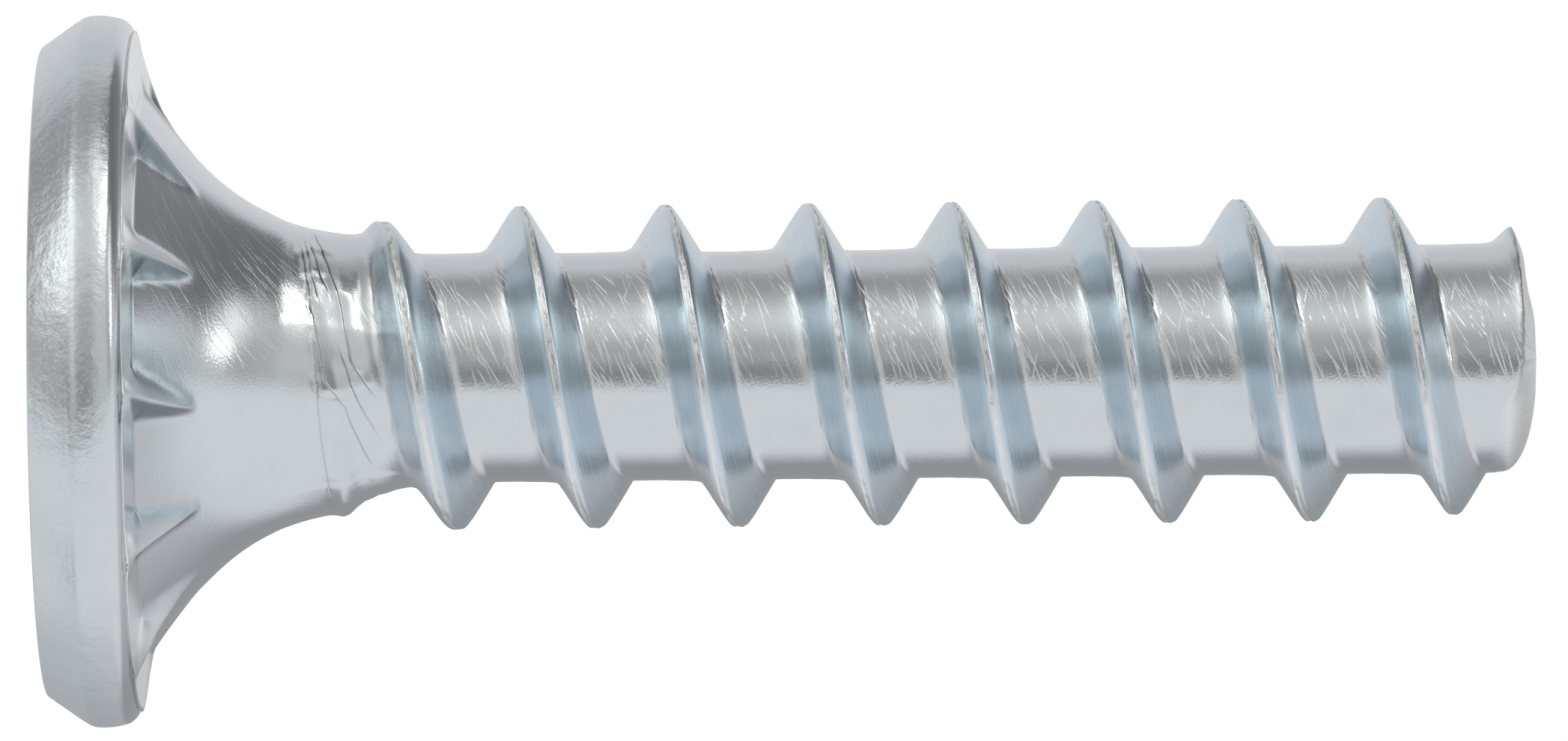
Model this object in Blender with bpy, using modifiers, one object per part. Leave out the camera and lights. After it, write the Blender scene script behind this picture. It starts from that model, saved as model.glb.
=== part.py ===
"""Countersunk screw, one piece of zinc-plated steel.

A wire blank is headed cold, which forms the flat head, the ring under it and
the flared neck with its twelve cutting ribs. The coarse thread is then rolled
on, and the end is sheared off blunt.

The screw stands on its flat head, because on its side it would roll. The
origin is the centre of the head's face, and +Z runs along the axis to the end.
"""
import math

import bmesh
import bpy
from mathutils import Matrix, Vector

MM = 0.001
NAME = "countersunk_screw"

# Head
HEAD_RADIUS = 11.02 * MM        # the widest line, round the rim
FACE_RADIUS = 10.03 * MM        # flat face, out to its rounded edge
FACE_EDGE_ROUND = 0.15 * MM
BAND_HEIGHT = 1.30 * MM         # sloping band between the face and the rim
BAND_ROUND = 0.80 * MM          # where the band turns into the rim
RIM_LAND = 0.85 * MM            # straight part of the rim
RIM_BEVEL_HEIGHT = 0.55 * MM
RIM_BEVEL_DEPTH = 0.17 * MM
RING_ROUND = 0.18 * MM          # outer edge of the ring under the head
RING_WIDTH = 2.22 * MM
RING_RISE = 0.52 * MM

# Flared neck
NECK_RADIUS = 4.31 * MM
NECK_TOP = 9.35 * MM            # height where the rolled zone starts
FLARE_SLOPE = 1.36              # radius lost per height at the ring
NECK_SLOPE = 0.15               # and at the top of the neck
FLARE_FULLNESS = 0.79           # share of the way to where both slopes meet

# Cutting ribs
RIB_COUNT = 12
RIB_TURN = 4.3                  # degrees from -X to the first rib
RIB_HEIGHT = 0.22 * MM
RIB_TOP_WIDTH = 0.35 * MM
RIB_FOOT_WIDTH = 1.50 * MM      # below the flare's surface, where it is widest
RIB_TIP_SHARE = 0.35            # of its width that is left where it dies out
RIB_LENGTH_SHARE = 0.36         # of the flare's curve, from the ring

# Shank and thread
LENGTH = 46.10 * MM             # face to the middle of the end
CORE_RADIUS = 3.53 * MM
ROLL_STEP = 0.30 * MM           # the rolled zone starts this much smaller
ROLL_STEP_HEIGHT = 0.50 * MM
CONE_HEIGHT = 1.55 * MM         # from that step down to the core
THREAD_RADIUS = 5.00 * MM
PITCH = 4.42 * MM
FLANK_ANGLE = 30.0              # degrees, each side of the crest
CREST_WIDTH = 0.22 * MM
FIRST_CREST = 10.38 * MM        # height of the first crest, on the -X side
RUN_IN_TURNS = 0.85             # the ridge grows out of the neck over this
RUN_IN_CENTRE = 0.45            # share of the run-in made by the first crest
RUN_OUT_TURNS = 0.90            # and sinks again before the sheared end
RUN_OUT_DROP = 0.90 * MM

# Sheared end
END_ROUND = 1.10 * MM
END_CROWN = 0.33 * MM           # the middle stands above the edge
END_TRIM = 0.30 * MM            # the ridge is cut this far under the edge

# Six-lobe drive recess
LOBE_CIRCLE = 4.47 * MM         # radius round the lobes
FLUTE_CIRCLE = 3.22 * MM        # radius inside the flutes
LOBE_ROUND = 0.75 * MM
RECESS_DEPTH = 4.60 * MM
RECESS_CONE = 0.85 * MM         # shallow cone that the punch leaves

# Facets
TURN_STEPS = 60
FLARE_STEPS = 12
RIB_STEPS = 5
ROUND_STEPS = 3
SINK = 0.35 * MM                # how far a joined form reaches into its base
OVERRUN = 2.0 * MM              # how far a cutter stands past what it cuts

RIM_BASE = BAND_HEIGHT + RIM_LAND
RING_BASE = RIM_BASE + RIM_BEVEL_HEIGHT
RING_RADIUS = HEAD_RADIUS - RIM_BEVEL_DEPTH
FLARE_BASE = RING_BASE + RING_RISE
FLARE_RADIUS = RING_RADIUS - RING_WIDTH
ROLL_TOP = NECK_TOP + ROLL_STEP_HEIGHT
END_EDGE = LENGTH - END_CROWN
CREST_PHASE = math.pi           # the first crest is on the -X side


def corner_arc(before, corner, after, radius, steps=ROUND_STEPS):
    """Points of the arc that rounds one corner of an outline."""
    corner = Vector(corner)
    to_before = (Vector(before) - corner).normalized()
    to_after = (Vector(after) - corner).normalized()
    half = to_before.angle(to_after) / 2
    centre = corner + (to_before + to_after).normalized() * radius / math.sin(half)
    start = (corner + to_before * radius / math.tan(half) - centre).normalized()
    end = (corner + to_after * radius / math.tan(half) - centre).normalized()
    return [centre + start.slerp(end, step / steps) * radius for step in range(steps + 1)]


def rounded_outline(corners):
    """An outline from (radius, height, round) corners, with arcs at the rounds."""
    points = []
    for index, (radius, height, turn) in enumerate(corners):
        if turn:
            before = corners[index - 1][:2]
            after = corners[index + 1][:2]
            points += corner_arc(before, (radius, height), after, turn)
        else:
            points.append(Vector((radius, height)))
    return points


def flare_handles():
    """The four Bezier points of the neck, from the ring to the top."""
    low = Vector((FLARE_RADIUS, FLARE_BASE))
    high = Vector((NECK_RADIUS, NECK_TOP))
    rise = (low.x - high.x - NECK_SLOPE * (high.y - low.y)) / (FLARE_SLOPE - NECK_SLOPE)
    meeting = Vector((low.x - FLARE_SLOPE * rise, low.y + rise))
    return low, low.lerp(meeting, FLARE_FULLNESS), high.lerp(meeting, FLARE_FULLNESS), high


def flare_point(share):
    """A point of the neck's outline, as (radius, height)."""
    a, b, c, d = flare_handles()
    rest = 1 - share
    return a * rest**3 + b * 3 * rest**2 * share + c * 3 * rest * share**2 + d * share**3


def flare_normal(share):
    """The direction out of the metal at that point."""
    step = 0.001
    along = flare_point(min(share + step, 1)) - flare_point(max(share - step, 0))
    return Vector((along.y, -along.x)).normalized()


def blank_outline():
    """The turned outline, from the middle of the end to the middle of the face."""
    shank = rounded_outline([
        (0, LENGTH, 0),
        (CORE_RADIUS, END_EDGE, END_ROUND),
        (CORE_RADIUS, ROLL_TOP + CONE_HEIGHT, 0),
        (NECK_RADIUS - ROLL_STEP, ROLL_TOP, 0),
    ])
    flare = [flare_point(1 - step / FLARE_STEPS) for step in range(FLARE_STEPS + 1)]
    head = rounded_outline([
        (FLARE_RADIUS, FLARE_BASE, 0),
        (RING_RADIUS, RING_BASE, RING_ROUND),
        (HEAD_RADIUS, RIM_BASE, 0),
        (HEAD_RADIUS, BAND_HEIGHT, BAND_ROUND),
        (FACE_RADIUS, 0, FACE_EDGE_ROUND),
        (0, 0, 0),
    ])
    return shank + flare + head[1:]


def new_object(name, mesh, collection):
    thing = bpy.data.objects.new(name, mesh)
    collection.objects.link(thing)
    return thing


def mesh_from(name, bm):
    """Closes the working mesh into a mesh block, with its faces outwards."""
    bmesh.ops.recalc_face_normals(bm, faces=bm.faces)
    mesh = bpy.data.meshes.new(name)
    bm.to_mesh(mesh)
    bm.free()
    return mesh


def turned(name, outline, collection):
    """A solid turned about Z from an outline that runs top to bottom."""
    mesh = bpy.data.meshes.new(name)
    points = [(point.x, 0, point.y) for point in outline]
    mesh.from_pydata(points, [(i, i + 1) for i in range(len(points) - 1)], [])
    thing = new_object(name, mesh, collection)
    turn = thing.modifiers.new("turn", "SCREW")
    turn.axis = "Z"
    turn.steps = TURN_STEPS
    turn.render_steps = TURN_STEPS
    turn.use_merge_vertices = True
    turn.merge_threshold = 0.00001
    turn.use_smooth_shade = True
    return thing


def make_blank(collection):
    return turned(NAME, blank_outline(), collection)


def ridge_radius(turns, last_turn):
    """How far out the crest stands, counted in turns from the first crest."""
    before = RUN_IN_TURNS * RUN_IN_CENTRE
    grown = min(max((turns + before) / RUN_IN_TURNS, 0), 1)
    start = NECK_RADIUS - SINK
    full = start + (THREAD_RADIUS - start) * math.sin(grown * math.pi / 2)
    gone = min(max((turns - last_turn + RUN_OUT_TURNS) / RUN_OUT_TURNS, 0), 1)
    return full - RUN_OUT_DROP * gone


def make_thread(collection):
    """The rolled ridge: one section screwed about Z, then grown at both ends."""
    foot_radius = CORE_RADIUS - SINK
    half_crest = CREST_WIDTH / 2
    half_foot = half_crest + (THREAD_RADIUS - foot_radius) * math.tan(math.radians(FLANK_ANGLE))
    start_turn = -RUN_IN_TURNS * RUN_IN_CENTRE
    last_turn = (LENGTH - FIRST_CREST) / PITCH
    end_turn = last_turn + OVERRUN / PITCH
    steps = math.ceil((end_turn - start_turn) * TURN_STEPS)
    first_step = math.floor(start_turn * TURN_STEPS) + 0.5
    step_rise = PITCH / TURN_STEPS
    step_angle = math.tau / TURN_STEPS

    bm = bmesh.new()
    middle = FIRST_CREST + first_step * step_rise
    section = [
        (foot_radius, middle - half_foot),
        (THREAD_RADIUS, middle - half_crest),
        (THREAD_RADIUS, middle + half_crest),
        (foot_radius, middle + half_foot),
    ]
    turn = Matrix.Rotation(CREST_PHASE + first_step * step_angle, 4, "Z")
    verts = [bm.verts.new(turn @ Vector((radius, 0, height))) for radius, height in section]
    face = bm.faces.new(verts)
    bmesh.ops.spin(bm, geom=[face] + verts + list(face.edges), axis=(0, 0, 1),
                   dvec=(0, 0, step_rise), angle=step_angle * steps, steps=steps)
    for vert in bm.verts:
        if vert.co.xy.length > CORE_RADIUS:
            angle = math.atan2(vert.co.y, vert.co.x) - CREST_PHASE
            whole = round((vert.co.z - FIRST_CREST) / PITCH - angle / math.tau)
            turns = whole + angle / math.tau
            scale = ridge_radius(turns, last_turn) / vert.co.xy.length
            vert.co.x *= scale
            vert.co.y *= scale
    shear(bm, END_EDGE - END_TRIM)
    return new_object("thread_ridge", mesh_from("thread_ridge", bm), collection)


def shear(bm, height):
    """Cuts off what stands above a height, and closes the cut with one flat face."""
    whole = bm.verts[:] + bm.edges[:] + bm.faces[:]
    sheared = bmesh.ops.bisect_plane(bm, geom=whole, plane_co=(0, 0, height),
                                     plane_no=(0, 0, 1), clear_outer=True)
    rim = [item for item in sheared["geom_cut"] if isinstance(item, bmesh.types.BMEdge)]
    bmesh.ops.edgeloop_fill(bm, edges=rim)


def loft(bm, sections):
    """A closed body through sections that all have the same number of points."""
    rings = [[bm.verts.new(point) for point in section] for section in sections]
    bm.faces.new(rings[0])
    bm.faces.new(rings[-1][::-1])
    for ring, following in zip(rings, rings[1:]):
        for index, vert in enumerate(ring):
            bm.faces.new((vert, ring[index - 1], following[index - 1], following[index]))


def rib_section(step):
    """One section of a rib on the +X side; step -1 lies inside the head."""
    fade = max(step, 0) / RIB_STEPS
    on_flare = flare_point(RIB_LENGTH_SHARE * fade)
    outwards = flare_normal(RIB_LENGTH_SHARE * fade)
    crest = on_flare + outwards * RIB_HEIGHT * (1 - fade)
    foot = on_flare - outwards * SINK
    if step < 0:
        crest.y -= SINK
        foot.y -= SINK
    width_left = 1 - (1 - RIB_TIP_SHARE) * fade
    half_top = RIB_TOP_WIDTH / 2 * width_left
    half_foot = RIB_FOOT_WIDTH / 2 * width_left
    return [
        (foot.x, -half_foot, foot.y),
        (crest.x, -half_top, crest.y),
        (crest.x, half_top, crest.y),
        (foot.x, half_foot, foot.y),
    ]


def make_ribs(collection):
    """The ribs on the flare: one drafted, fading rib, repeated round the axis."""
    bm = bmesh.new()
    loft(bm, [rib_section(step) for step in range(-1, RIB_STEPS + 1)])
    first = Matrix.Rotation(CREST_PHASE + math.radians(RIB_TURN), 4, "Z")
    bmesh.ops.transform(bm, matrix=first, verts=bm.verts)
    bmesh.ops.spin(bm, geom=bm.verts[:] + bm.edges[:] + bm.faces[:], axis=(0, 0, 1),
                   angle=math.tau * (RIB_COUNT - 1) / RIB_COUNT, steps=RIB_COUNT - 1,
                   use_duplicate=True)
    return new_object("neck_ribs", mesh_from("neck_ribs", bm), collection)


def recess_outline():
    """Six round lobes joined by six round flutes, each arc touching the next."""
    lobe_centre = LOBE_CIRCLE - LOBE_ROUND
    half_step = math.pi / 6
    across = lobe_centre * math.cos(half_step)
    flute_round = ((lobe_centre**2 + FLUTE_CIRCLE**2 - 2 * across * FLUTE_CIRCLE - LOBE_ROUND**2)
                   / (2 * (LOBE_ROUND + across - FLUTE_CIRCLE)))
    flute_centre = FLUTE_CIRCLE + flute_round
    lobe = Vector((lobe_centre, 0))
    flute = Vector((flute_centre * math.cos(half_step), flute_centre * math.sin(half_step)))
    touch = lobe + (flute - lobe).normalized() * LOBE_ROUND
    lobe_half = (touch - lobe).angle(Vector((1, 0)))
    flute_half = (touch - flute).angle(-flute)

    points = []
    for index in range(6):
        turn = Matrix.Rotation(index * math.pi / 3, 2)
        for step in range(-ROUND_STEPS, ROUND_STEPS + 1):
            angle = lobe_half * step / ROUND_STEPS
            point = lobe + Vector((math.cos(angle), math.sin(angle))) * LOBE_ROUND
            points.append(turn @ point)
        inward = math.atan2(-flute.y, -flute.x)
        for step in range(ROUND_STEPS - 1, -ROUND_STEPS, -1):
            angle = inward + flute_half * step / ROUND_STEPS
            point = flute + Vector((math.cos(angle), math.sin(angle))) * flute_round
            points.append(turn @ point)
    return points


def make_recess(collection):
    """The drive recess: the lobed outline sunk into the face, on a shallow cone."""
    bm = bmesh.new()
    outline = recess_outline()
    verts = [bm.verts.new((point.x, point.y, -OVERRUN)) for point in outline]
    face = bm.faces.new(verts)
    walls = bmesh.ops.extrude_face_region(bm, geom=[face])
    top = [item for item in walls["geom"] if isinstance(item, bmesh.types.BMVert)]
    bmesh.ops.translate(bm, verts=top, vec=(0, 0, OVERRUN + RECESS_DEPTH))
    top_face = [item for item in walls["geom"] if isinstance(item, bmesh.types.BMFace)]
    tip = bmesh.ops.poke(bm, faces=top_face)["verts"]
    bmesh.ops.translate(bm, verts=tip, vec=(0, 0, RECESS_CONE))
    return new_object("drive_recess", mesh_from("drive_recess", bm), collection)


def cut(thing, other, operation):
    """Joins or cuts one solid with another, which then stays as a guide."""
    step = thing.modifiers.new(other.name, "BOOLEAN")
    step.operation = operation
    step.solver = "EXACT"
    step.object = other
    other.hide_render = True
    other.display_type = "WIRE"


def zinc_plated_steel():
    material = bpy.data.materials.new("zinc_plated_steel")
    material.use_nodes = True
    shader = material.node_tree.nodes["Principled BSDF"]
    shader.inputs["Base Color"].default_value = (0.60, 0.64, 0.68, 1)
    shader.inputs["Metallic"].default_value = 1.0
    shader.inputs["Roughness"].default_value = 0.34
    return material


def clear_scene():
    for thing in list(bpy.data.objects):
        bpy.data.objects.remove(thing, do_unlink=True)


def new_collection(name):
    collection = bpy.data.collections.new(name)
    bpy.context.scene.collection.children.link(collection)
    return collection


def main():
    clear_scene()
    parts = new_collection(NAME)
    guides = new_collection("cutters")
    screw = make_blank(parts)
    cut(screw, make_ribs(guides), "UNION")
    cut(screw, make_thread(guides), "UNION")
    cut(screw, make_recess(guides), "DIFFERENCE")
    screw.data.materials.append(zinc_plated_steel())


main()
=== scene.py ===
# %% [markdown]
# # A countersunk screw in zinc-plated steel
#
# The real screw starts as a piece of wire. A press forms the wide head, the ring under it and the flared
# neck with its ribs. Two dies roll the coarse thread on, which pushes the metal up into a ridge and leaves
# small folds on the neck. Then the end is sheared off and the screw is plated.
#
# The solid from the CAD source is the frame: it gives the size and the place. This script gives the looks:
# one finer mesh that stands for the solid, its plated finish, and a plain studio.

# %% Load the frame
import math
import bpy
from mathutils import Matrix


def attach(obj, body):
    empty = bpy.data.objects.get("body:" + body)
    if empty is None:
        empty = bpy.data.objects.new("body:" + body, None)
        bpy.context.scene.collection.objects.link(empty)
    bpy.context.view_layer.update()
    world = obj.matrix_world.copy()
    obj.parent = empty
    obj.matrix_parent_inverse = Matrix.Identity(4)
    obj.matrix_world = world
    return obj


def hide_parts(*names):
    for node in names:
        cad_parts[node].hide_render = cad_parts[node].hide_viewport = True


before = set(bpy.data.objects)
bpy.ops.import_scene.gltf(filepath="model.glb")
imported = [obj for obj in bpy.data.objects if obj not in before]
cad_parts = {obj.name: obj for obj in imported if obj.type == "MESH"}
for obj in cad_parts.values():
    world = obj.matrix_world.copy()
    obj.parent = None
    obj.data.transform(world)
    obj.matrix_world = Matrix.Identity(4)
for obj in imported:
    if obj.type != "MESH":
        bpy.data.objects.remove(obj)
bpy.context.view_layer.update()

from types import SimpleNamespace

import bpy
import numpy as np
from mathutils import Matrix, Vector

# %% [markdown]
# ## Arithmetic in node trees
#
# A shape that follows a rule is a formula, and in Blender a formula is a row of Math nodes. Wiring them one
# by one is long and hard to read. A small class that stands for a socket lets Python's own signs build them,
# so `a * b + 1` makes two nodes. It works the same in geometry, material and world trees.

# %% A socket that takes part in arithmetic
class Field:
    def __init__(self, tree, socket):
        self.tree, self.socket = tree, socket

    def math(self, operation, *others):
        node = self.tree.nodes.new("ShaderNodeMath")
        node.operation = operation
        for slot, value in zip(node.inputs, (self, *others)):
            feed(slot, value)
        return Field(self.tree, node.outputs[0])

    def __add__(self, other): return self.math("ADD", other)
    def __sub__(self, other): return self.math("SUBTRACT", other)
    def __mul__(self, other): return self.math("MULTIPLY", other)
    def __truediv__(self, other): return self.math("DIVIDE", other)
    def __radd__(self, other): return self + other
    def __rmul__(self, other): return self * other
    def __rsub__(self, other): return self * -1.0 + other
    def __neg__(self): return self * -1.0


def feed(slot, value):
    """Links a field to an input, or writes a plain value into it."""
    if isinstance(value, Field):
        slot.id_data.links.new(value.socket, slot)
    else:
        slot.default_value = value


print("a field takes + - * and /")

# %% Short names for the nodes used most
def smaller(a, b): return a.math("MINIMUM", b)
def larger(a, b): return a.math("MAXIMUM", b)
def size_of(a): return a.math("ABSOLUTE")
def root(a): return a.math("SQRT")
def cosine(a): return a.math("COSINE")
def sine(a): return a.math("SINE")
def nearest(a): return a.math("ROUND")
def bell(a, width): return (-(a / width) * (a / width)).math("EXPONENT")
def between(a, b, share): return a + (b - a) * share


def ease(value, low, high):
    """Goes smoothly from 0 at low to 1 at high."""
    node = value.tree.nodes.new("ShaderNodeMapRange")
    node.interpolation_type = "SMOOTHSTEP"
    feed(node.inputs[0], value)
    if low > high:
        node.inputs[1].default_value, node.inputs[2].default_value = high, low
        node.inputs[3].default_value, node.inputs[4].default_value = 1, 0
    else:
        node.inputs[1].default_value, node.inputs[2].default_value = low, high
    return Field(value.tree, node.outputs[0])


def vector(x, y, z):
    node = x.tree.nodes.new("ShaderNodeCombineXYZ")
    for slot, value in zip(node.inputs, (x, y, z)):
        feed(slot, value)
    return Field(x.tree, node.outputs[0])


def parts_of(field):
    node = field.tree.nodes.new("ShaderNodeSeparateXYZ")
    feed(node.inputs[0], field)
    return [Field(field.tree, out) for out in node.outputs]


def noise(place, detail=2.0, roughness=0.5):
    """Soft random values from 0 to 1; the place says where, in sizes of one lump."""
    node = place.tree.nodes.new("ShaderNodeTexNoise")
    feed(node.inputs["Vector"], place)
    node.inputs["Scale"].default_value = 1.0
    node.inputs["Detail"].default_value = detail
    node.inputs["Roughness"].default_value = roughness
    return Field(place.tree, node.outputs[0])


print("node arithmetic is ready")

# %% [markdown]
# ## The sizes
#
# All the sizes of the real screw, in millimetres. The large ones are those of the CAD source. Some small ones
# are finer than the source needs: the rim is slightly barrel-shaped, its edges are rounder, and the flare
# meets the ring in a little fillet. The photo adds what a press and a pair of dies do to a perfect form: the
# neck is a tenth of a millimetre off centre, the rolled zone starts with a lip on one side, and the ridge
# fades in and out.

# %% Sizes in millimetres
MM = 0.001
HEAD_RADIUS, FACE_RADIUS = 11.02, 10.03
BAND_HEIGHT, RING_CORNER = 1.30, 2.84
BARREL_HEIGHT, BARREL_ROUND = 1.75, 2.4
BAND_ROUND, RING_ROUND, FACE_EDGE_ROUND = 0.80, 0.45, 0.15
FLARE_RADIUS, FLARE_BASE, FLARE_FOOT = 8.63, 3.14, 0.45
NECK_RADIUS, NECK_TOP = 4.31, 9.35
FLARE_SLOPE, NECK_SLOPE, FLARE_FULLNESS = 1.36, 0.15, 0.79
LENGTH, CORE_RADIUS = 46.10, 3.53
ROLL_STEP, ROLL_TOP, CONE_HEIGHT = 0.30, 9.85, 1.55
THREAD_RADIUS, PITCH, FIRST_CREST = 5.00, 4.42, 10.38
CREST_WIDTH, FLANK_ANGLE = 0.15, 30.0
RIB_COUNT, RIB_TURN = 12, 6.0
RIB_FACE, RIB_FALL = 1.10, 0.80  # how wide a rib's broad side and its steep side are
RIB_WIDE, RIB_NARROWS = 1.1, 0.75  # a factor on both at its root, and what it loses to the tip
LOBE_CIRCLE, FLUTE_CIRCLE, LOBE_ROUND = 4.47, 3.22, 0.75
RECESS_DEPTH, RECESS_CONE = 4.60, 0.85
NECK_SHIFT = 0.10
SHANK_START, SHANK_END = 8.40, 44.60
DRAG_START, END_EDGE, END_TOP = 44.90, 45.66, 46.098

COLUMNS = 216  # facets round the screw, 18 for each rib
print("pitch / outside diameter:", round(PITCH / (2 * THREAD_RADIUS), 2))

# %% [markdown]
# ## The outline
#
# A turned part is an outline swept round an axis. Each point of the outline becomes one ring of the mesh.
# Three kinds of ring are needed: plain rings on the head and neck, rings that climb with the thread along
# the shank, and rings of the sheared end. A ring also carries how much of the six-lobe form it has, which
# way is out, and how high and wide a rib stands on it. All that goes into attributes of a bare outline mesh,
# which Geometry Nodes read.

# %% Helpers for the outline
RING_FIELDS = ("radius", "height", "lobed", "kind_shank", "kind_end", "even", "out_r", "out_z", "rib_high",
               "rib_wide")


def ring(radius, height, lobed=0.0, shank=0.0, end=0.0, even=1.0, out=(1.0, 0.0), rib=(0.0, 1.0)):
    return (radius, height, lobed, shank, end, even, out[0], out[1], rib[0], rib[1])


def arc(before, corner, after, radius, steps):
    """Points of the arc that rounds one corner of an outline."""
    corner = Vector(corner)
    to_before = (Vector(before) - corner).normalized()
    to_after = (Vector(after) - corner).normalized()
    half = to_before.angle(to_after) / 2
    centre = corner + (to_before + to_after).normalized() * radius / math.sin(half)
    start = (corner + to_before * radius / math.tan(half) - centre).normalized()
    end = (corner + to_after * radius / math.tan(half) - centre).normalized()
    return [centre + start.slerp(end, step / steps) * radius for step in range(steps + 1)]


def flare_point(share):
    """A point of the neck's Bezier outline, as (radius, height)."""
    low, high = Vector((FLARE_RADIUS, FLARE_BASE)), Vector((NECK_RADIUS, NECK_TOP))
    rise = (low.x - high.x - NECK_SLOPE * (high.y - low.y)) / (FLARE_SLOPE - NECK_SLOPE)
    meeting = Vector((low.x - FLARE_SLOPE * rise, low.y + rise))
    b, c = low.lerp(meeting, FLARE_FULLNESS), high.lerp(meeting, FLARE_FULLNESS)
    rest = 1 - share
    return low * rest**3 + b * 3 * rest**2 * share + c * 3 * rest * share**2 + high * share**3


print("helpers for the outline are ready")

# %% [markdown]
# The drive recess has six round lobes joined by six round flutes. Its radius at any angle is found from the
# two kinds of arc, and a short polynomial in the cosine of six times the angle stands for it in the nodes.

# %% The six-lobe form as a polynomial
def lobe_polynomial(degree=6):
    lobe_centre = LOBE_CIRCLE - LOBE_ROUND
    across = lobe_centre * math.cos(math.pi / 6)
    flute_round = ((lobe_centre**2 + FLUTE_CIRCLE**2 - 2 * across * FLUTE_CIRCLE - LOBE_ROUND**2)
                   / (2 * (LOBE_ROUND + across - FLUTE_CIRCLE)))
    flute_centre = FLUTE_CIRCLE + flute_round
    angles = np.linspace(0, math.pi / 6, 60)
    radii = []
    for angle in angles:
        lobe_side = lobe_centre * math.sin(angle)
        on_lobe = (lobe_centre * math.cos(angle) + math.sqrt(LOBE_ROUND**2 - lobe_side**2)
                   if abs(lobe_side) < LOBE_ROUND else 0)
        flute_side = flute_centre * math.sin(math.pi / 6 - angle)
        on_flute = (flute_centre * math.cos(math.pi / 6 - angle) - math.sqrt(flute_round**2 - flute_side**2)
                    if abs(flute_side) < flute_round else 99)
        touch = math.atan2(flute_centre / 2 * LOBE_ROUND, lobe_centre * flute_round
                           + flute_centre * math.cos(math.pi / 6) * LOBE_ROUND)
        radii.append(on_lobe if angle < touch else on_flute)
    fit = np.polyfit(np.cos(6 * angles), radii, degree)
    worst = np.abs(np.polyval(fit, np.cos(6 * angles)) - radii).max()
    print("lobes off by at most", round(float(worst), 3), "mm")
    return [float(value) for value in fit]


LOBES = lobe_polynomial()

# %% [markdown]
# ## The ribs' place on the rings
#
# Twelve ribs fill the hollow between the ring and the flare, like small gussets: the top of each is a straight
# line from the ring's edge to the flare. Cutting them as separate bodies would leave hard seams, but the real
# ones are pressed out of the same metal. So a ring only says how far it is below that line and how wide a rib
# is there, and the nodes push the surface out. Where ribs are, the columns crowd together, so that a rib
# two millimetres wide still has many facets.

# %% The top line of a rib
RIB_START, RIB_TIP = Vector((10.66, 2.885)), Vector((6.55, 4.90))
RIB_OUT = Vector((RIB_TIP.y - RIB_START.y, RIB_START.x - RIB_TIP.x)).normalized()


def rib_at(point):
    """How far a point of the outline lies below a rib's top line, and how wide the rib is there."""
    below = (RIB_START - Vector(point)).dot(RIB_OUT)
    reached = min(max((RIB_START.x - point[0]) / (RIB_START.x - RIB_TIP.x), 0.0), 1.0)
    high = max(below, 0.0) if 0 < reached < 1 else 0.0
    return high, RIB_WIDE - RIB_NARROWS * reached**1.5


print("a rib is at most", round(rib_at((FLARE_RADIUS, FLARE_BASE))[0], 2), "mm high")

# %% [markdown]
# ## The rings
#
# The first rings climb down from the tip of the drive recess to the face, and lose their six lobes on the way
# out to the edge. The rim is a line with rounded corners, and a press leaves its wall slightly barrel-shaped,
# so its points move in by a circle's depth. Rings lie close together only where the outline bends, because a
# mirror-like surface shows every facet there.

# %% Rings of the recess, the face and the rim
def recess_rings():
    rings = [ring(0, RECESS_DEPTH + RECESS_CONE * (1 - share), lobed=share)
             for share in (0.0, 0.12, 0.3, 0.5, 0.7, 0.86, 0.96, 1.0)]
    rings += [ring(0, height, lobed=1.0) for height in (4.45, 3.9, 3.0, 2.1, 1.2, 0.5, 0.16)]
    rings += [ring(0.03, 0.07, lobed=1.0), ring(0.09, 0.02, lobed=1.0), ring(0.18, 0.0, lobed=1.0)]
    rings += [ring(0.18 * (1 - share) + 6.3 * share, 0, lobed=1 - share)
              for share in (0.1, 0.3, 0.5, 0.7, 0.88, 1.0)]
    return rings + [ring(radius, 0) for radius in (7.2, 8.1, 8.9, 9.5, 9.8)]


def rim_rings():
    foot = (FLARE_RADIUS, FLARE_BASE)
    points = arc((0, 0), (FACE_RADIUS, 0), (HEAD_RADIUS, BAND_HEIGHT), FACE_EDGE_ROUND, 4)
    points += arc((FACE_RADIUS, 0), (HEAD_RADIUS, BAND_HEIGHT), (HEAD_RADIUS, RING_CORNER), BAND_ROUND, 10)
    points += [Vector((HEAD_RADIUS, height)) for height in (1.75, 2.0, 2.2)]
    points += arc((HEAD_RADIUS, BAND_HEIGHT), (HEAD_RADIUS, RING_CORNER), foot, RING_ROUND, 10)
    corner = Vector((HEAD_RADIUS, RING_CORNER))
    points += [corner.lerp(Vector(foot), share)
               for share in (0.20, 0.27, 0.35, 0.44, 0.54, 0.64, 0.74, 0.83, 0.90)]
    points += arc(corner, foot, flare_point(0.02), FLARE_FOOT, 4)[:-1]
    rings = []
    for index, point in enumerate(points):
        if 0.9 < point.y < 2.9:
            point.x -= (point.y - BARREL_HEIGHT)**2 / (2 * BARREL_ROUND) * min((point.y - 0.9) / 0.3, 1)
        rib = rib_at(point) if point.y > RIB_START.y else (0.0, 1.0)
        rings.append(ring(point.x, point.y, even=1 - 0.6 * min(index / 12, 1), out=RIB_OUT, rib=rib))
    return rings


print("rings of the head:", len(recess_rings() + rim_rings()))

# %% [markdown]
# The flare follows a curve with four control points. On the shank the rings aren't level: each climbs one
# pitch in a turn, so the rows of the mesh run along the thread, and its crest stays sharp with few faces. They
# crowd near the crest and lie wide apart on the core. The end has level rings again. Its outline is the one
# that the photo shows at the top, where the shears cut through the ridge.

# %% Rings of the flare, the shank and the end
FOOT_END = 0.011  # share of the flare's curve that the fillet at its foot takes


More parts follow.
